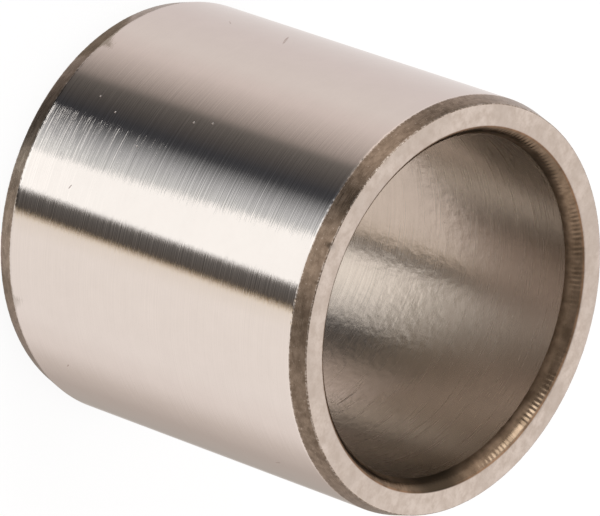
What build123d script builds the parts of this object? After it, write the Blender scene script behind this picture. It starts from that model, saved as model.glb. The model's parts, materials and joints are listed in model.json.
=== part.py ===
from build123d import *

import math
import os

# Hardened and ground steel spacer sleeve, in millimetres, standing on one end.
# The origin is the centre of the lower end face and +Z runs along the bore.
# One turned blank, hardened, then ground on the outside, in the bore and on both ends.
# Both ends are alike: a slender conical lead-in outside and a rounded corner in the bore.

# Ground sizes
BORE_DIAMETER = 45.0
WALL_THICKNESS = 5.0  # on the radius, so the outside is 55 mm across
LENGTH = 55.0

# Lead-in taper turned on the outside of each end, as it stands after grinding
LEAD_IN_LENGTH = 2.5
LEAD_IN_ANGLE = 15.0  # degrees between the taper and the axis

# Rounded corner form-turned in the blank at each end of the bore. Grinding then takes
# a little stock off the bore and off the end, which trims both ends of the arc:
# it meets the bore and the end face at a shallow edge and not at a tangent.
CORNER_RADIUS = 3.0
BORE_STOCK = 0.07  # ground off the bore, on the radius
END_STOCK = 0.32  # ground off each end


def half_chord(radius, height):
    """Distance from the middle of a circle's chord to its end, height from the centre."""
    return math.sqrt(radius**2 - height**2)


def wall_section():
    """Half section of the wall on the XZ plane: X is the radius and Z the height."""
    bore = BORE_DIAMETER / 2
    outer = bore + WALL_THICKNESS
    lead_in_tip = outer - LEAD_IN_LENGTH * math.tan(math.radians(LEAD_IN_ANGLE))

    # The centre of each corner's arc lies this far into the wall and into the length.
    centre_in_wall = CORNER_RADIUS - BORE_STOCK
    centre_in_length = CORNER_RADIUS - END_STOCK
    mouth = bore + centre_in_wall - half_chord(CORNER_RADIUS, centre_in_length)
    corner_depth = centre_in_length - half_chord(CORNER_RADIUS, centre_in_wall)

    with BuildSketch(Plane.XZ) as section:
        with BuildLine():
            Polyline(
                (mouth, 0),
                (lead_in_tip, 0),
                (outer, LEAD_IN_LENGTH),
                (outer, LENGTH - LEAD_IN_LENGTH),
                (lead_in_tip, LENGTH),
                (mouth, LENGTH),
            )
            RadiusArc((mouth, LENGTH), (bore, LENGTH - corner_depth), -CORNER_RADIUS)
            Line((bore, LENGTH - corner_depth), (bore, corner_depth))
            RadiusArc((bore, corner_depth), (mouth, 0), -CORNER_RADIUS)
        make_face()
    return section.sketch


def sleeve():
    """The whole sleeve: one solid, turned about the axis of its bore."""
    with BuildPart() as body:
        add(wall_section())
        revolve(axis=Axis.Z)
    return body.part


os.makedirs("parts", exist_ok=True)
export_step(sleeve(), "parts/sleeve.step")
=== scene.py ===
import json
import math

import bpy
import numpy as np
from mathutils import Matrix, Vector


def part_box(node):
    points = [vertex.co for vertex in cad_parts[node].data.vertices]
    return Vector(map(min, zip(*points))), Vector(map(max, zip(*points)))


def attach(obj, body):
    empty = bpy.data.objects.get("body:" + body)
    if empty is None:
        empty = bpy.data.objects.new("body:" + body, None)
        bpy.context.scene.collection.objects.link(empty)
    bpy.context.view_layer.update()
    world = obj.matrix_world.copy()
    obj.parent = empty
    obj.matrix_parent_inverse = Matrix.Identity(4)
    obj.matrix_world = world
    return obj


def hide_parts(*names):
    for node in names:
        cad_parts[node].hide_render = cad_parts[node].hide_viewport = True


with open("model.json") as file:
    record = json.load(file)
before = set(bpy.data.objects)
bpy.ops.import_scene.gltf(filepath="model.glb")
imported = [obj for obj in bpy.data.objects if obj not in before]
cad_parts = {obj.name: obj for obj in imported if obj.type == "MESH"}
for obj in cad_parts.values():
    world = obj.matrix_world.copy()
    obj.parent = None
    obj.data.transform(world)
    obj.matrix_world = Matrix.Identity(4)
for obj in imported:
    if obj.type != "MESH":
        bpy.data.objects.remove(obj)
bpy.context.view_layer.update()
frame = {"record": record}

# Looks of the spacer sleeve: one turned ring of hardened steel, ground on the outside, in the bore
# and on both ends. All sizes are in metres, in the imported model's own frame: the sleeve stands on
# its lower end, and +Z runs along the bore. Azimuths are about +Z, counted from -Y, where the
# camera stands, towards +X.

LOW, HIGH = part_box("sleeve")
MOUNTS = {mount["name"]: mount["dims"] for mount in frame["record"]["mounts"]}
MM = 0.001
UM = 0.000001

# Main sizes, from the frame
OUTER = (HIGH[0] - LOW[0]) / 2
LENGTH = HIGH[2] - LOW[2]
BORE = MOUNTS["bore"]["r_mm"] * MM
LEAD_IN_LENGTH = (LENGTH - MOUNTS["outside"]["length_mm"] * MM) / 2

# Turned details that the mounts don't state
LEAD_IN_ANGLE = math.radians(15)
CORNER_RADIUS = 3 * MM
BORE_STOCK = 0.07 * MM  # ground off the bore after the corner was turned, on the radius
END_STOCK = 0.32 * MM  # ground off each end after the corner was turned

# Mesh
SEGMENTS = 1340  # round the axis, about six to each chatter ridge
EDGE_BREAK = 0.08 * MM  # how far the worn rounding of an edge reaches along both its sides
SUPPORT = 1.8  # a second row holds the flat's shading, this many edge breaks from the edge
FAR_SUPPORT = 3.5  # and a third one on the long sides, which wear doesn't reach
FINISHES = ["outside", "lead_in", "end_face", "corner", "bore"]  # in the order of the materials

# Wear and tool marks
RIDGES = 222  # chatter ridges round the corner
RIDGE_DEPTH = 0.055 * MM
RIDGES_SIDE = math.radians(-135)  # they are deepest round this azimuth
RIDGE_PITCH_WAVES = (9, 14, 23)  # waves to the turn, along which the ridges' pitch varies
RIDGE_DEPTH_WAVES = (17, 31, 44, 61)  # and their depth
FULL_RIDGE = 0.4 * MM  # distance from the corner's ends where they reach full depth
NICKS = 28  # on each edge
NICK_DEPTH = 0.08 * MM
UNEVEN = 0.009 * MM  # waviness of a worn edge
EDGE_WAVES = (57, 83, 131, 190, 260)  # to the turn

# Nicks where the upper lead-in meets the end: azimuth and half width in degrees, share of the depth
KNOWN_NICKS = [(-5.2, 1.1, 1.6), (5.4, 0.5, 1.0)]
UPPER_END_EDGE = (1, 0)  # that edge's number along the section, and the upper of the two ends

# Marks: azimuth, height, length and width in mm, and lean from the axis in degrees
DARK_MARKS = [
    (68, 44.4, 1.7, 0.3, -27),
    (-67, 22.4, 4.6, 0.45, 57),
    (-66.5, 12.6, 1.4, 0.25, 38),
    (57.5, 9.3, 1.1, 0.25, -45),
    (3, 11, 0.8, 0.15, -60),
]
SPECK_SIZE = (0.35, 0.25, 0)  # length, width and lean of every speck
SPECKS = [
    (-26, 27.9, *SPECK_SIZE),
    (-24.5, 25.1, *SPECK_SIZE),
    (-20, 12.6, *SPECK_SIZE),
    (-23, 8.8, *SPECK_SIZE),
    (-13, 18.9, *SPECK_SIZE),
]
BORE_SCRATCH = (137, 28.9, 4.2, 0.35, 83)
DARK_REFLECTION_PATCHES = [(112, 52, 20, 15, 0), (-112, 47, 22, 17, 0)]  # painted dark reflections at the bore's upper mouth, on the bore and the corner

# Camera, as the photograph was taken
VIEW_ELEVATION = math.radians(40.98)
VIEW_ROLL = math.radians(19.4)
VIEW_DISTANCE = 39.307 * OUTER
UPPER_END_RIGHT = 0.7134 * OUTER  # of the picture's centre
UPPER_END_DOWN = 0.2407 * OUTER
LENS_MM = 514.8
SENSOR_MM = 36


# ---------------------------------------------------------------- mesh


def straight(start, end):
    """A straight side of the section: its length, and its point at a distance from start."""
    a, b = np.array(start), np.array(end)
    length = float(np.linalg.norm(b - a))
    return length, lambda s: a + (b - a) * (s / length)


def arc(centre, radius, start_angle, end_angle):
    """A round side of the section. Angles are in radians in the radius-height plane."""
    length = radius * abs(end_angle - start_angle)

    def point(s):
        angle = start_angle + (end_angle - start_angle) * (s / length)
        return np.array(centre) + radius * np.array([math.cos(angle), math.sin(angle)])

    return length, point


def upper_sides():
    """The section's sides from mid-length on the outside, over the upper end, to mid-bore.

    Each is (finish, side, rows between its ends, rows in the worn edge after it).
    """
    middle = LENGTH / 2
    tip = OUTER - LEAD_IN_LENGTH * math.tan(LEAD_IN_ANGLE)
    in_wall = CORNER_RADIUS - BORE_STOCK
    in_length = CORNER_RADIUS - END_STOCK
    centre = (BORE + in_wall, LENGTH - in_length)
    at_face = math.pi - math.asin(in_length / CORNER_RADIUS)
    at_bore = math.pi - math.acos(in_wall / CORNER_RADIUS)
    mouth = centre[0] + CORNER_RADIUS * math.cos(at_face)
    bore_top = centre[1] + CORNER_RADIUS * math.sin(at_bore)
    return [
        ("outside", straight((OUTER, middle), (OUTER, LENGTH - LEAD_IN_LENGTH)), 1, 1),
        ("lead_in", straight((OUTER, LENGTH - LEAD_IN_LENGTH), (tip, LENGTH)), 1, 3),
        ("end_face", straight((tip, LENGTH), (mouth, LENGTH)), 1, 3),
        ("corner", arc(centre, CORNER_RADIUS, at_face, at_bore), 6, 1),
        ("bore", straight((BORE, bore_top), (BORE, middle)), 1, 0),
    ]


def stops_along(length, inner, first, last):
    """Where a side has its rows: close to its edges, and spread evenly between them."""
    near, support, far = EDGE_BREAK, SUPPORT * EDGE_BREAK, FAR_SUPPORT * EDGE_BREAK
    begin = 0 if first else support
    end = length if last else length - support
    between = [begin + (end - begin) * k / (inner + 1) for k in range(1, inner + 1)]
    if first:
        return [0, *between, length - far, end, length - near]
    if last:
        return [near, support, far, *between, end]
    return [near, support, *between, end, length - near]


def upper_rows():
    """Rows of the upper half: (radius, height, finish of the band up to the next row)."""
    rows = []
    sides = upper_sides()
    for number, (finish, (length, point), inner, in_edge) in enumerate(sides):
        last = number == len(sides) - 1
        rows += [(*point(s), finish) for s in stops_along(length, inner, number == 0, last)]
        if last:
            break
        next_point = sides[number + 1][1][1]
        before, vertex, after = point(length - EDGE_BREAK), point(length), next_point(EDGE_BREAK)
        for k in range(1, in_edge + 1):
            t = k / (in_edge + 1)
            round_point = (1 - t) ** 2 * before + 2 * t * (1 - t) * vertex + t**2 * after
            rows.append((*round_point, finish))
    return rows


def whole_section():
    """The closed section as arrays of radius and height, and a list of finishes."""
    upper = upper_rows()
    lower = []
    # Mirrored and run backwards, each row leads to the one before it, and takes that one's finish.
    for k in range(len(upper) - 2, 0, -1):
        radius, height, _ = upper[k]
        lower.append((radius, LENGTH - height, upper[k - 1][2]))
    rows = upper + lower
    radius = np.array([row[0] for row in rows])
    height = np.array([row[1] for row in rows])
    return radius, height, [row[2] for row in rows]


def inward(radius, height):
    """For each row, the unit step in radius and in height that goes into the metal."""
    along = np.roll(radius, -1) - np.roll(radius, 1)
    up = np.roll(height, -1) - np.roll(height, 1)
    length = np.hypot(along, up)
    return -up / length, along / length


def wander(angle, seed, waves):
    """A smooth random wave round the sleeve, mostly within -1 to 1."""
    phases = np.random.default_rng(seed).uniform(0, 2 * math.pi, len(waves))
    return sum(np.sin(k * angle + p) for k, p in zip(waves, phases)) / math.sqrt(len(waves))


def ridge_depth(radius, height, finishes, angle):
    """Depth of the chatter ridges for each row and angle: only the two corners have them."""
    from_end = np.minimum(height, LENGTH - height)
    from_edge = np.minimum(from_end, radius - BORE)
    share = np.clip(from_edge / FULL_RIDGE, 0, 1) * (np.array(finishes) == "corner")
    wave = 0.5 - 0.5 * np.cos(RIDGES * angle + 0.8 * wander(angle, 3, RIDGE_PITCH_WAVES))
    side = np.clip(0.5 + 0.5 * np.cos(angle - RIDGES_SIDE), 0, 1) ** 1.5
    strength = 0.18 + 0.82 * side  # they don't quite vanish on the other side
    strength = strength * np.clip(0.75 + 0.4 * wander(angle, 5, RIDGE_DEPTH_WAVES), 0.2, 1)
    return RIDGE_DEPTH * share[:, None] * (wave * strength)[None, :]


def nick_profile(angle, seed, known):
    """Depth of the nicks round one edge, as a share of the full depth."""
    rng = np.random.default_rng(seed)
    nicks = [(math.radians(azimuth), math.radians(half), deep) for azimuth, half, deep in known]
    for _ in range(NICKS):
        half_width = math.radians(rng.uniform(0.25, 0.9))
        nicks.append((rng.uniform(0, 2 * math.pi), half_width, rng.uniform(0.1, 0.75) ** 2))
    depth = np.zeros_like(angle)
    for azimuth, half_width, deep in nicks:
        off = np.angle(np.exp(1j * (angle - azimuth))) / half_width
        depth = np.maximum(depth, deep * np.clip(1 - off**2, 0, 1))
    return depth


def edge_depth(radius, height, angle):
    """Depth of nicks and wear along every edge of the section, for each row and angle."""
    depth = np.zeros((len(radius), len(angle)))
    edges = [point(length) for _, (length, point), _, in_edge in upper_sides() if in_edge]
    for number, (edge_radius, edge_height) in enumerate(edges):
        for end, level in enumerate((edge_height, LENGTH - edge_height)):
            seed = 10 * number + end
            known = KNOWN_NICKS if (number, end) == UPPER_END_EDGE else []
            nicks = NICK_DEPTH * nick_profile(angle, seed, known)
            waves = UNEVEN * (1 + wander(angle, seed, EDGE_WAVES))
            away = np.hypot(radius - edge_radius, height - level) / (SUPPORT * EDGE_BREAK)
            depth += np.clip(1 - away, 0, 1)[:, None] * (nicks + np.maximum(waves, 0))[None, :]
    return depth


def sleeve_points(radius, height, finishes):
    """All the sleeve's points, ring by ring, with its ridges and wear."""
    angle = np.arange(SEGMENTS) * (2 * math.pi / SEGMENTS)
    depth = ridge_depth(radius, height, finishes, angle) + edge_depth(radius, height, angle)
    step_r, step_z = inward(radius, height)
    r = radius[:, None] + step_r[:, None] * depth
    z = height[:, None] + step_z[:, None] * depth
    return np.stack([r * np.sin(angle), -r * np.cos(angle), z], axis=-1).reshape(-1, 3)


def add_flat_map(mesh, radius, height, row, column):
    """One flat map: angle across, distance along the section upwards."""
    steps = np.hypot(np.diff(radius, append=radius[0]), np.diff(height, append=height[0]))
    along = np.concatenate([[0], np.cumsum(steps)]) / steps.sum()
    u = np.stack([column, column + 1, column + 1, column], axis=-1) / SEGMENTS
    v = np.stack([along[row], along[row], along[row + 1], along[row + 1]], axis=-1)
    flat = mesh.uv_layers.new(name="OFBake")
    flat.uv.foreach_set("vector", np.stack([u, v], axis=-1).ravel().astype(np.float32))


def make_sleeve():
    """The sleeve as one closed mesh of rings, with a finish to each band."""
    radius, height, finishes = whole_section()
    points = sleeve_points(radius, height, finishes)

    rows = len(radius)
    row, column = np.meshgrid(np.arange(rows), np.arange(SEGMENTS), indexing="ij")
    next_row, next_column = (row + 1) % rows, (column + 1) % SEGMENTS
    corners = [(row, column), (row, next_column), (next_row, next_column), (next_row, column)]
    faces = np.stack([a * SEGMENTS + b for a, b in corners], axis=-1).reshape(-1, 4)

    mesh = bpy.data.meshes.new("ground_sleeve")
    mesh.from_pydata(points.tolist(), [], faces.tolist())
    bands = np.repeat([FINISHES.index(name) for name in finishes], SEGMENTS)
    mesh.polygons.foreach_set("material_index", bands.astype(np.int32))
    mesh.polygons.foreach_set("use_smooth", np.ones(len(faces), bool))
    add_flat_map(mesh, radius, height, row, column)
    mesh.validate()
    mesh.update()

    sleeve = bpy.data.objects.new("ground_sleeve", mesh)
    bpy.context.collection.objects.link(sleeve)
    return sleeve


# ---------------------------------------------------------------- nodes


def node(tree, kind, inputs=None, **settings):
    """Adds a node. An input is a number, a colour or another node's output."""
    made = tree.nodes.new(kind)
    for name, value in settings.items():
        setattr(made, name, value)
    for key, value in (inputs or {}).items():
        if isinstance(value, bpy.types.NodeSocket):
            tree.links.new(value, made.inputs[key])
        else:
            made.inputs[key].default_value = value
    return made


def calc(tree, operation, *values, clamp=False):
    """The result of a Math node."""
    inputs = dict(enumerate(values))
    return node(tree, "ShaderNodeMath", inputs, operation=operation, use_clamp=clamp).outputs[0]


def dot(tree, vector, direction):
    """How far a vector reaches in a direction."""
    inputs = {0: vector, 1: direction}
    return node(tree, "ShaderNodeVectorMath", inputs, operation="DOT_PRODUCT").outputs["Value"]


def length_of(tree, vector):
    """The length of a vector."""
    return node(tree, "ShaderNodeVectorMath", {0: vector}, operation="LENGTH").outputs["Value"]


def remap(tree, value, low, high, to_low=0.0, to_high=1.0, kind="SMOOTHSTEP"):
    """Value from low..high to to_low..to_high, clamped."""
    inputs = {"Value": value, "From Min": low, "From Max": high, "To Min": to_low, "To Max": to_high}
    return node(tree, "ShaderNodeMapRange", inputs, interpolation_type=kind).outputs["Result"]


def blend(tree, share, a, b):
    """Colour a, turning into colour b as share goes to 1."""
    made = node(tree, "ShaderNodeMix", data_type="RGBA")
    for index, value in ((0, share), (6, a), (7, b)):
        if isinstance(value, bpy.types.NodeSocket):
            tree.links.new(value, made.inputs[index])
        else:
            made.inputs[index].default_value = value if index == 0 else (*value, 1)
    return made.outputs[2]


def largest(tree, values):
    """The largest of several values."""
    result = values[0]
    for value in values[1:]:
        result = calc(tree, "MAXIMUM", result, value)
    return result


def own_place(tree):
    """The point's place in the object's own coordinates."""
    return node(tree, "ShaderNodeTexCoord").outputs["Object"]


def own_height(tree):
    """The point's height in the object's own coordinates."""
    return node(tree, "ShaderNodeSeparateXYZ", {0: own_place(tree)}).outputs["Z"]


def distance_from_end(tree):
    """How far a point of the sleeve lies from the nearer end face."""
    height = own_height(tree)
    return calc(tree, "MINIMUM", height, calc(tree, "SUBTRACT", LENGTH, height))


def distance_from_axis(tree):
    """How far a point of the sleeve lies from its axis."""
    inputs = {0: own_place(tree), 1: (1, 1, 0)}
    return length_of(tree, node(tree, "ShaderNodeVectorMath", inputs, operation="MULTIPLY").outputs[0])


def noise(tree, per_metre, detail, roughness, shift=0.0):
    """Noise in the sleeve's own coordinates, about 0 to 1, with so many features to the metre."""
    mapping = {"Vector": own_place(tree), "Scale": per_metre, "Location": (shift, shift, shift)}
    scaled = node(tree, "ShaderNodeMapping", mapping).outputs["Vector"]
    inputs = {"Vector": scaled, "Scale": 1.0, "Detail": detail, "Roughness": roughness}
    return node(tree, "ShaderNodeTexNoise", inputs).outputs["Fac"]


def bump(tree, height, depth, normal=None):
    """Normal of a surface with relief: height 0 to 1 is depth metres."""
    inputs = {"Height": height, "Distance": depth, "Strength": 1.0}
    if normal is not None:
        inputs["Normal"] = normal
    return node(tree, "ShaderNodeBump", inputs).outputs["Normal"]


def dent(tree, spots, depth, normal):
    """Normal of a surface that is depth metres lower on the spots."""
    return bump(tree, calc(tree, "SUBTRACT", 1.0, spots), depth, normal)


def spot(tree, radius, mark, soft):
    """1 on one oval mark, given as in DARK_MARKS, 0 round it."""
    azimuth, height, length, width, lean = mark
    turn = math.radians(azimuth)
    centre = (radius * math.sin(turn), -radius * math.cos(turn), height * MM)
    # It is deep through the wall, so that the round surface doesn't leave it.
    reach = (width * MM / 2, length * MM + width * MM, length * MM / 2)
    inputs = {"Vector": own_place(tree), "Location": centre, "Scale": reach}
    inputs["Rotation"] = (0, math.radians(lean), turn)
    local = node(tree, "ShaderNodeMapping", inputs, vector_type="TEXTURE").outputs["Vector"]
    return remap(tree, length_of(tree, local), 1.0, soft)


def marks_on(tree, radius, marks, soft=0.5):
    """1 on any of several marks on the surface of that radius, 0 elsewhere."""
    return largest(tree, [spot(tree, radius, mark, soft) for mark in marks])


def new_metal(name):
    """A new material with a Principled metal in it: (material, tree, shader)."""
    material = bpy.data.materials.new(name)
    material.use_nodes = True
    tree = material.node_tree
    shader = tree.nodes["Principled BSDF"]
    shader.inputs["Metallic"].default_value = 1.0
    return material, tree, shader


def connect(tree, shader, colour, rough, normal):
    """Links a finish to its shader."""
    for name, output in (("Base Color", colour), ("Roughness", rough), ("Normal", normal)):
        tree.links.new(output, shader.inputs[name])


# ---------------------------------------------------------------- finishes

RUBBED = (0.6, 0.56, 0.52)  # the colour of an edge rubbed bright

# Bands next to an edge: how far from it they reach, and where they are full
LEAD_IN_RUBBED = (0.3 * MM, 0.08 * MM)
CORNER_RUBBED = (0.12 * MM, 0.04 * MM)
CORNER_RUST = (0.28 * MM, 0.1 * MM)
CORNER_MATT = (0.35 * MM, 0.12 * MM)
MATT_ABOVE_BORE = 0.7 * MM  # the corner is matt next to the bore too, up to this radius above it
LUMPS_REACH = (13 * MM, 25 * MM)  # from an end: where the bore's lumps grow, and are full


def outside_finish():
    """Ground bright: a mirror with fine grinding lines round it, and the marks of handling."""
    material, tree, shader = new_metal("ground_outside")
    fine = noise(tree, (45, 45, 6000), 2.0, 0.6)
    broad = noise(tree, (25, 25, 1500), 2.0, 0.5, 3.1)
    short = noise(tree, (500, 500, 5000), 2.0, 0.5, 4.9)
    cloud = noise(tree, (300, 300, 300), 3.0, 0.6, 7.7)
    marks = marks_on(tree, OUTER, DARK_MARKS)
    marks = calc(tree, "MULTIPLY", marks, remap(tree, fine, 0.3, 0.6, 0.5, 1.0))
    rough_spots = largest(tree, [marks, marks_on(tree, OUTER, SPECKS)])
    normal = bump(tree, fine, 12 * UM)
    normal = bump(tree, broad, 10 * UM, normal)
    normal = bump(tree, short, 2.5 * UM, normal)
    normal = dent(tree, rough_spots, 20 * UM, normal)
    colour = blend(tree, cloud, (0.61, 0.585, 0.565), (0.65, 0.625, 0.605))
    colour = blend(tree, marks, colour, (0.4, 0.35, 0.32))
    rough = remap(tree, fine, 0.3, 0.7, 0.015, 0.05)
    rough = calc(tree, "ADD", rough, calc(tree, "MULTIPLY", rough_spots, 0.22))
    connect(tree, shader, colour, rough, normal)
    return material


def lead_in_finish():
    """Turned and left as it came from hardening: dull and brown, with fine turning lines."""
    material, tree, shader = new_metal("turned_lead_in")
    lines = noise(tree, (80, 80, 9000), 2.0, 0.5, 1.3)
    cloud = noise(tree, (900, 900, 1300), 4.0, 0.6, 5.2)
    grain = noise(tree, (3500, 3500, 3500), 3.0, 0.6, 2.5)
    normal = bump(tree, lines, 4 * UM)
    normal = bump(tree, grain, 6 * UM, normal)
    from_end = distance_from_end(tree)
    from_outside = [LEAD_IN_LENGTH - reach for reach in LEAD_IN_RUBBED]
    at_face = remap(tree, from_end, *LEAD_IN_RUBBED)
    at_outside = remap(tree, from_end, *from_outside)
    rubbed = calc(tree, "MAXIMUM", at_face, at_outside)
    rubbed = calc(tree, "MULTIPLY", rubbed, remap(tree, grain, 0.42, 0.6))
    colour = blend(tree, remap(tree, cloud, 0.3, 0.7), (0.19, 0.152, 0.117), (0.31, 0.256, 0.205))
    colour = blend(tree, remap(tree, grain, 0.64, 0.72), colour, (0.5, 0.45, 0.4))
    colour = blend(tree, rubbed, colour, RUBBED)
    rough = remap(tree, lines, 0.3, 0.7, 0.24, 0.34)
    connect(tree, shader, colour, rough, normal)
    return material


def end_face_finish():
    """Ground flat: satin and mottled."""
    material, tree, shader = new_metal("ground_end")
    mottle = noise(tree, (650, 650, 650), 4.0, 0.65, 2.2)
    grain = noise(tree, (4500, 4500, 4500), 2.0, 0.5, 4.4)
    broad = noise(tree, (160, 160, 160), 2.0, 0.5, 8.8)
    normal = bump(tree, grain, 8 * UM)
    normal = bump(tree, mottle, 70 * UM, normal)
    colour = blend(tree, remap(tree, mottle, 0.3, 0.7), (0.57, 0.535, 0.50), (0.78, 0.755, 0.73))
    colour = blend(tree, remap(tree, broad, 0.4, 0.7, 0, 0.5), colour, (0.55, 0.52, 0.49))
    rough = remap(tree, mottle, 0.3, 0.7, 0.34, 0.5)
    connect(tree, shader, colour, rough, normal)
    return material


def corner_finish():
    """Form-turned and dark from hardening, rusty next to the end face and rubbed at its edge, with
    painted dark reflections at the upper mouth.
    """
    material, tree, shader = new_metal("turned_corner")
    cloud = noise(tree, (600, 600, 600), 4.0, 0.6, 8.1)
    lines = noise(tree, (100, 100, 6000), 2.0, 0.5, 6.3)
    from_end = distance_from_end(tree)
    rust = remap(tree, from_end, *CORNER_RUST)
    rust = calc(tree, "MULTIPLY", rust, remap(tree, cloud, 0.35, 0.6, 0.2, 0.65))
    rubbed = remap(tree, from_end, *CORNER_RUBBED)
    normal = bump(tree, lines, 4 * UM)
    colour = blend(tree, remap(tree, cloud, 0.3, 0.7), (0.17, 0.128, 0.09), (0.32, 0.25, 0.185))
    colour = blend(tree, rust, colour, (0.42, 0.25, 0.15))
    # Painted dark reflections: the corner is painted darker at the upper mouth, where dark
    # surroundings would be mirrored.
    colour = blend(tree, marks_on(tree, BORE, DARK_REFLECTION_PATCHES, 0.3), colour, (0.07, 0.056, 0.04))
    colour = blend(tree, rubbed, colour, RUBBED)
    near_bore = remap(tree, distance_from_axis(tree), BORE, BORE + MATT_ABOVE_BORE, 0.5, 0.22)
    near_face = remap(tree, from_end, *CORNER_MATT, 0.22, 0.5)
    rough = calc(tree, "MAXIMUM", near_bore, near_face)
    connect(tree, shader, colour, rough, normal)
    return material


def bore_finish():
    """Ground satin: fine lines round it, a lumpy mirror deep inside, painted dark reflections at the
    upper mouth, a scratch.
    """
    material, tree, shader = new_metal("ground_bore")
    lines = noise(tree, (120, 120, 5000), 3.0, 0.6, 9.4)
    lumps = noise(tree, (1000, 1000, 800), 2.0, 0.5, 2.9)
    inside = remap(tree, distance_from_end(tree), *LUMPS_REACH, 0.3, 1.0)
    lumps = calc(tree, "MULTIPLY", lumps, inside)
    cloud = noise(tree, (250, 250, 250), 3.0, 0.6, 1.7)
    scratch = marks_on(tree, BORE, [BORE_SCRATCH])
    normal = bump(tree, lines, 1.3 * UM)
    normal = bump(tree, lumps, 45 * UM, normal)
    normal = dent(tree, scratch, 20 * UM, normal)
    colour = blend(tree, cloud, (0.43, 0.385, 0.34), (0.51, 0.455, 0.405))
    # Painted dark reflections: darker patches at the upper mouth, standing in for dark surroundings
    # mirrored there.
    dark_reflection = calc(tree, "MULTIPLY", marks_on(tree, BORE, DARK_REFLECTION_PATCHES, 0.2), 0.75)
    colour = blend(tree, dark_reflection, colour, (0.18, 0.155, 0.12))
    rough = remap(tree, lines, 0.3, 0.7, 0.2, 0.28)
    rough = calc(tree, "ADD", rough, calc(tree, "MULTIPLY", scratch, 0.15))
    connect(tree, shader, colour, rough, normal)
    return material


# ---------------------------------------------------------------- studio

# The outside of the standing sleeve mirrors what lies below the horizon, so the studio's soft strips
# reach all the way down round it: azimuth, colour with white at 1, and how far the strip fades
# downwards, which is what makes the grinding lines show.
LOW_STRIPS = [
    (-180, (0.85, 0.80, 0.78), 0.1),
    (-125, (0.90, 0.79, 0.76), 0.1),
    (-95, (0.97, 0.86, 0.81), 0.1),
    (-82, (0.90, 0.77, 0.72), 0.2),
    (-70, (0.66, 0.56, 0.51), 0.5),
    (-58, (0.36, 0.30, 0.27), 1.0),
    (-54, (0.17, 0.15, 0.135), 1.0),
    (-44, (0.095, 0.085, 0.08), 1.0),
    (-36, (0.052, 0.052, 0.058), 1.0),
    (-32, (0.07, 0.07, 0.075), 1.0),
    (-27, (0.27, 0.27, 0.275), 1.0),
    (-20, (0.55, 0.55, 0.555), 1.0),
    (-12, (0.80, 0.80, 0.79), 0.8),
    (-6, (0.95, 0.94, 0.92), 0.5),
    (-4.5, (1.50, 1.47, 1.44), 0.0),
    (8, (1.47, 1.43, 1.40), 0.0),
    (15, (1.34, 1.29, 1.25), 0.0),
    (15.8, (0.21, 0.19, 0.175), 1.0),
    (20, (0.13, 0.118, 0.11), 1.0),
    (26.9, (0.11, 0.09, 0.075), 1.0),
    (27.4, (0.42, 0.31, 0.19), 0.5),
    (28.8, (0.60, 0.45, 0.30), 0.5),
    (29.3, (1.10, 0.97, 0.83), 0.3),
    (30.3, (0.80, 0.65, 0.48), 0.3),
    (31, (1.12, 1.00, 0.90), 0.1),
    (40, (1.18, 1.07, 1.00), 0.1),
    (85, (1.14, 1.03, 0.97), 0.1),
    (104, (1.04, 0.92, 0.86), 0.1),
    (120, (0.78, 0.67, 0.61), 0.1),
    (136, (0.60, 0.51, 0.46), 0.1),
    (166, (0.46, 0.41, 0.37), 0.1),
    (180, (0.85, 0.80, 0.78), 0.1),
]
LOW_RING = -math.sin(math.radians(43))  # sine of the elevation that the outside mirrors
FADE = 0.1 / math.radians(1)  # of a strip's brightness for each radian down
FADED, RISEN = 0.25, 2.2  # the least and the most that fading leaves of a strip

# Near the horizon, where the lead-in tapers look: azimuth and brightness of the tent's colour
HORIZON_STRIPS = [
    (-180, 0.62),
    (-130, 0.52),
    (-92, 0.26),
    (-76, 1.10),
    (-52, 1.30),
    (-38, 0.05),
    (-28, 0.05),
    (-16, 1.20),
    (8, 1.15),
    (22, 0.30),
    (30, 0.32),
    (52, 0.72),
    (86, 0.66),
    (116, 0.50),
    (146, 0.35),
    (180, 0.62),
]
TO_HORIZON = (-0.5, -0.3)  # sines of the elevations where the low strips go over into these
TO_TENT = (0.0, 0.35)  # and where these go over into the tent

# The tent over the sleeve. Places are azimuth and elevation, reaches go from nothing to full.
TENT = (0.97, 0.84, 0.76)
FRONT = (0, 50)  # the tent is open over the camera, and darker there
FRONT_REACH = (75, 20)
FRONT_SHADE = 0.35
KEY = (-66, 45)  # the one brighter softbox
KEY_REACH = (16, 12)
KEY_COLOUR = (3.2, 3.04, 2.88)
WHITE = (1, 1, 1)
BRIGHTEST = 1.6  # the world's strength; its nodes hold colours as shares of it

# What only reflections see, below the floor
CARD_AWAY = 150 * MM
CARD_HEAD = [(-12, -119.5), (-37, -41), (36.4, -41), (36.4, -172)]  # across and up, in mm
CARD_FOOT = [(-95, -172), (-95, -150), (-79, -143), (-28, -122.5)]
CARD_COLOUR = (1, 0.97, 0.94, 1)
CARD_GLOW = (1.5, 1.8)  # over its foot, and in it
CARD_FOOT_TOP = (-119 * MM, -127 * MM)  # where it goes from the one to the other
# The veil: a glowing sheet of painted shade, which only reflections see
VEIL_BELOW = 1 * MM
VEIL_SHADE_COLOUR = (0.34, 0.285, 0.22, 1)
# Two sides of the veil: azimuth, the distances where it begins and is full, its share there
VEIL_SIDES = [(-25, 5 * MM, 18 * MM, 0.75), (-80, 8 * MM, 18 * MM, 0.45)]

FLOOR_REACH = 60 * LENGTH
FLOOR_COLOUR = (0.86, 0.93, 1.0, 1)
FLOOR_GLOW = 1.12
FLOOR_SHARE = 0.8  # of the glow in what the camera sees; the rest is lit and holds the shadow


def direction_of(azimuth, elevation):
    """Unit vector of a direction given in degrees."""
    a, e = math.radians(azimuth), math.radians(elevation)
    return (math.sin(a) * math.cos(e), -math.cos(a) * math.cos(e), math.sin(e))


def in_world(colour):
    """A colour with white at 1, in the units of the world's nodes."""
    return tuple(channel / BRIGHTEST for channel in colour)


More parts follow.
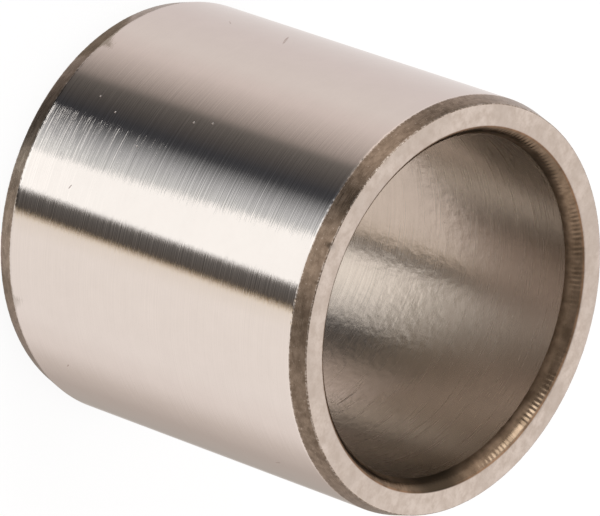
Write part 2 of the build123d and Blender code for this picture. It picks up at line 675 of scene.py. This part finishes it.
def ring(tree, share, stops):
    """A colour ramp over the whole turn, from (azimuth, colour, alpha)."""
    made = node(tree, "ShaderNodeValToRGB", {"Fac": share})
    elements = made.color_ramp.elements
    elements.remove(elements[0])
    for number, (degrees, colour, alpha) in enumerate(stops):
        place = (degrees + 180) / 360
        stop = elements[0] if number == 0 else elements.new(place)
        stop.position = place
        stop.color = (*in_world(colour), alpha)
    return made.outputs


def toward(tree, direction, place, reach):
    """1 close to a place in the studio, 0 far from it. The reach is in degrees, far and close."""
    far, close = (math.cos(math.radians(degrees)) for degrees in reach)
    return remap(tree, dot(tree, direction, direction_of(*place)), far, close)


def low_studio(tree, turn, up):
    """The strips below the horizon, which fade downwards."""
    low = ring(tree, turn, LOW_STRIPS)
    rise = calc(tree, "SUBTRACT", up, LOW_RING)
    fade = calc(tree, "MULTIPLY", rise, FADE / math.cos(math.asin(LOW_RING)))
    fade = calc(tree, "MULTIPLY", fade, low["Alpha"])
    fade = calc(tree, "MAXIMUM", calc(tree, "ADD", fade, 1.0), FADED)
    fade = calc(tree, "MINIMUM", fade, RISEN)
    inputs = {0: low["Color"], "Scale": fade}
    return node(tree, "ShaderNodeVectorMath", inputs, operation="SCALE").outputs[0]


def upper_studio(tree, direction):
    """The tent, with its dark opening and its softbox."""
    shaded = tuple(channel * FRONT_SHADE for channel in in_world(TENT))
    upper = blend(tree, toward(tree, direction, FRONT, FRONT_REACH), in_world(TENT), shaded)
    return blend(tree, toward(tree, direction, KEY, KEY_REACH), upper, in_world(KEY_COLOUR))


def make_world():
    """The studio that the steel mirrors. The camera sees plain white in its place."""
    world = bpy.data.worlds.new("studio")
    bpy.context.scene.world = world
    world.use_nodes = True
    tree = world.node_tree
    background = tree.nodes["Background"]

    direction = node(tree, "ShaderNodeTexCoord").outputs["Generated"]
    parts = node(tree, "ShaderNodeSeparateXYZ", {"Vector": direction}).outputs
    azimuth = calc(tree, "ARCTAN2", parts["X"], calc(tree, "MULTIPLY", parts["Y"], -1.0))
    turn = remap(tree, azimuth, -math.pi, math.pi, kind="LINEAR")
    up = parts["Z"]

    stops = [(degrees, [level * c for c in TENT], 1) for degrees, level in HORIZON_STRIPS]
    horizon = ring(tree, turn, stops)["Color"]
    seen = blend(tree, remap(tree, up, *TO_HORIZON), low_studio(tree, turn, up), horizon)
    seen = blend(tree, remap(tree, up, *TO_TENT), seen, upper_studio(tree, direction))
    camera = node(tree, "ShaderNodeLightPath").outputs["Is Camera Ray"]
    tree.links.new(blend(tree, camera, seen, in_world(WHITE)), background.inputs["Color"])
    background.inputs["Strength"].default_value = BRIGHTEST


def flat_object(name, points):
    """A new object with one flat face."""
    mesh = bpy.data.meshes.new(name)
    mesh.from_pydata(points, [], [tuple(range(len(points)))])
    flat = bpy.data.objects.new(name, mesh)
    bpy.context.collection.objects.link(flat)
    return flat


def level_points(left, right, front, back, height):
    """The corners of a level rectangle."""
    return [(left, front, height), (right, front, height), (right, back, height), (left, back, height)]


def bare_material(flat, name):
    """Gives an object a new material with only an output in it, and returns its tree."""
    material = bpy.data.materials.new(name)
    material.use_nodes = True
    tree = material.node_tree
    tree.nodes.remove(tree.nodes["Principled BSDF"])
    flat.data.materials.append(material)
    return tree


def glow(tree, colour, strength=1.0):
    """A plain light of that colour."""
    return node(tree, "ShaderNodeEmission", {"Color": colour, "Strength": strength}).outputs[0]


def mix(tree, share, a, b):
    """Shader a, turning into shader b as share goes to 1."""
    return node(tree, "ShaderNodeMixShader", {0: share, 1: a, 2: b}).outputs[0]


def set_surface(tree, shader):
    """Links a shader to its material's output."""
    tree.links.new(shader, tree.nodes["Material Output"].inputs["Surface"])


def only_reflections_see(flat):
    """Hides an object from the camera and from matt surfaces, and takes its shadow away."""
    flat.visible_camera = False
    flat.visible_diffuse = False
    flat.visible_shadow = False


def make_white_card():
    """The white card under the floor, close in front of the sleeve, brightest at its foot.

    Its left edge leans, so that the white band on the outside widens towards the upper end, and
    its foot is wide, for the bore to mirror through its lower end.
    """
    points = [(across * MM, -CARD_AWAY, up * MM) for across, up in CARD_HEAD + CARD_FOOT]
    card = flat_object("white_card", points)
    only_reflections_see(card)
    tree = bare_material(card, "white_card")
    strength = remap(tree, own_height(tree), *CARD_FOOT_TOP, *CARD_GLOW)
    set_surface(tree, glow(tree, CARD_COLOUR, strength))


def make_veil():
    """A brown glowing veil under the front of the bore: painted shade, a stand-in for shaded
    surroundings under the sleeve, which only the bore's reflections see.

    What the bore mirrors through its lower end goes over into brown there, towards the upper end.
    """
    veil = flat_object("veil", level_points(-BORE, BORE, -BORE, BORE / 2, -VEIL_BELOW))
    only_reflections_see(veil)
    tree = bare_material(veil, "veil")
    shares = []
    for azimuth, begin, full, most in VEIL_SIDES:
        along = dot(tree, own_place(tree), direction_of(azimuth, 0))
        shares.append(remap(tree, along, begin, full, 0.0, most))
    clear = node(tree, "ShaderNodeBsdfTransparent").outputs[0]
    set_surface(tree, mix(tree, largest(tree, shares), clear, glow(tree, VEIL_SHADE_COLOUR)))


def make_floor():
    """A plain white floor, which keeps the sleeve's shadow.

    The steel's reflections and the light on it pass the floor. So the steel mirrors the studio's
    strips, as in the photograph, and not a white floor.
    """
    reach = FLOOR_REACH
    floor = flat_object("floor", level_points(-reach, reach, -reach, reach, 0))
    floor.visible_glossy = False
    floor.visible_shadow = False
    tree = bare_material(floor, "white_floor")
    lit = node(tree, "ShaderNodeBsdfDiffuse", {"Color": FLOOR_COLOUR}).outputs[0]
    rays = node(tree, "ShaderNodeLightPath").outputs
    # Glossy rays count as backdrop too, though none reaches the floor while it is hidden from them.
    backdrop = calc(tree, "ADD", rays["Is Camera Ray"], rays["Is Glossy Ray"])
    backdrop = calc(tree, "ADD", backdrop, rays["Is Transmission Ray"], clamp=True)
    share = calc(tree, "MULTIPLY", backdrop, FLOOR_SHARE)
    set_surface(tree, mix(tree, share, lit, glow(tree, (*WHITE, 1), FLOOR_GLOW)))


def make_camera():
    """Looks down on the upper end, rolled so that the sleeve leans to the right and down."""
    forward = Vector((0, math.cos(VIEW_ELEVATION), -math.sin(VIEW_ELEVATION)))
    upright = Vector((0, math.sin(VIEW_ELEVATION), math.cos(VIEW_ELEVATION)))
    level = Vector((1, 0, 0))
    right = math.cos(VIEW_ROLL) * upright - math.sin(VIEW_ROLL) * level
    down = math.sin(VIEW_ROLL) * upright + math.cos(VIEW_ROLL) * level
    upper_end = Vector((0, 0, HIGH[2]))
    place = upper_end - UPPER_END_RIGHT * right - UPPER_END_DOWN * down - VIEW_DISTANCE * forward

    data = bpy.data.cameras.new("camera")
    data.lens = LENS_MM
    data.sensor_width = SENSOR_MM
    camera = bpy.data.objects.new("camera", data)
    bpy.context.collection.objects.link(camera)
    turn = Matrix((right, -down, -forward)).transposed()
    camera.matrix_world = Matrix.Translation(place) @ turn.to_4x4()
    bpy.context.scene.camera = camera


sleeve = make_sleeve()
for finish in (outside_finish, lead_in_finish, end_face_finish, corner_finish, bore_finish):
    sleeve.data.materials.append(finish())
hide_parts("sleeve")
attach(sleeve, "root")

make_floor()
make_world()
make_white_card()
make_veil()
make_camera()
bpy.context.scene.view_settings.view_transform = "Standard"
